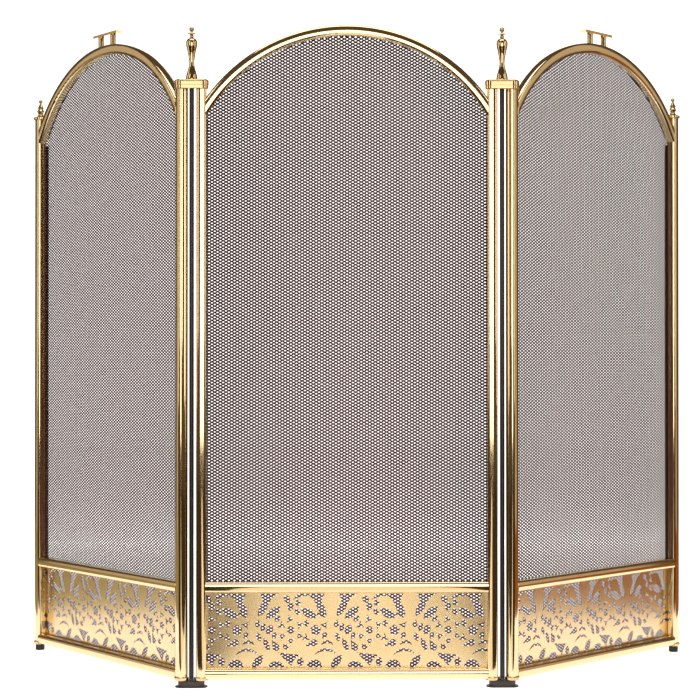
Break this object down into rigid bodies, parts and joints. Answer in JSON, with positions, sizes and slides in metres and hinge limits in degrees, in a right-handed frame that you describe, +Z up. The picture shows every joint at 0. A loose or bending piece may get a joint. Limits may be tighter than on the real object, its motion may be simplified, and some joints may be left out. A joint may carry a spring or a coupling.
{
  "type": "folding fireplace screen",
  "caption": "Arched folding fireplace screen of polished square brass tube, with black mesh panels, pierced lower border and turned finials.",
  "frame": {"origin": "on the floor under the middle of the whole screen's outline", "axes": "+X along the middle panel, +Y towards the fireplace, -Y towards the room, +Z up"},
  "size_m": [0.8942, 0.3004, 0.829],
  "materials": {
    "brass_tube": "mirror polished and lacquered",
    "brass_sheet": "polished sheet",
    "turned_brass": "turned and polished",
    "screw_brass": "bright",
    "mesh_black": "matte heat-proof black",
    "strip_black": "satin black",
    "rod_black": "satin black",
    "foot_black": "moulded, satin",
    "rubber": "moulded, matte",
    "bush_nylon": "moulded",
    "screw_steel": "zinc plated",
    "pin_steel": "ground"
  },
  "bodies": {
    "centre_panel": {"centre_left_post": "brass_tube", "centre_right_post": "brass_tube", "centre_arch": "brass_tube", "centre_upper_rail": "brass_tube", "centre_lower_rail": "brass_tube", "centre_pierced_sheet": "brass_sheet", "centre_mesh": "mesh_black", "centre_mesh_retainer": "strip_black", "centre_retainer_screws": "screw_steel", "centre_collars": "turned_brass", "centre_bushes": "bush_nylon"},
    "left_column": {"left_column_cap": "turned_brass", "left_column_finial": "turned_brass", "left_tie_rod": "rod_black", "left_rod_nut": "screw_steel", "left_column_foot": "foot_black", "left_pivot_pins": "pin_steel"},
    "right_column": {"right_column_cap": "turned_brass", "right_column_finial": "turned_brass", "right_tie_rod": "rod_black", "right_rod_nut": "screw_steel", "right_column_foot": "foot_black", "right_pivot_pins": "pin_steel"},
    "left_panel": {"left_hinge_post": "brass_tube", "left_outer_post": "brass_tube", "left_arch": "brass_tube", "left_upper_rail": "brass_tube", "left_lower_rail": "brass_tube", "left_pierced_sheet": "brass_sheet", "left_mesh": "mesh_black", "left_mesh_retainer": "strip_black", "left_retainer_screws": "screw_steel", "left_collars": "turned_brass", "left_bushes": "bush_nylon", "left_outer_cap": "turned_brass", "left_outer_finial": "turned_brass", "left_rubber_foot": "rubber", "left_handle_bar": "turned_brass", "left_handle_standoffs": "turned_brass", "left_handle_screws": "screw_brass"},
    "right_panel": {"right_hinge_post": "brass_tube", "right_outer_post": "brass_tube", "right_arch": "brass_tube", "right_upper_rail": "brass_tube", "right_lower_rail": "brass_tube", "right_pierced_sheet": "brass_sheet", "right_mesh": "mesh_black", "right_mesh_retainer": "strip_black", "right_retainer_screws": "screw_steel", "right_collars": "turned_brass", "right_bushes": "bush_nylon", "right_outer_cap": "turned_brass", "right_outer_finial": "turned_brass", "right_rubber_foot": "rubber", "right_handle_bar": "turned_brass", "right_handle_standoffs": "turned_brass", "right_handle_screws": "screw_brass"}
  },
  "joints": [
    {"name": "left_column_swing", "type": "hinge", "parent": "centre_panel", "child": "left_column", "pos_m": [-0.19293, -0.1412, 0], "axis": [0, 0, -1], "range_deg": [0, 90]},
    {"name": "left_panel_fold", "type": "hinge", "parent": "left_column", "child": "left_panel", "pos_m": [-0.21732, -0.1412, 0], "axis": [0, 0, -1], "range_deg": [-52, 38]},
    {"name": "right_column_swing", "type": "hinge", "parent": "centre_panel", "child": "right_column", "pos_m": [0.16467, -0.1412, 0], "axis": [0, 0, 1], "range_deg": [-90, 0]},
    {"name": "right_panel_fold", "type": "hinge", "parent": "right_column", "child": "right_panel", "pos_m": [0.18907, -0.1412, 0], "axis": [0, 0, 1], "range_deg": [-136, 44]}
  ]
}
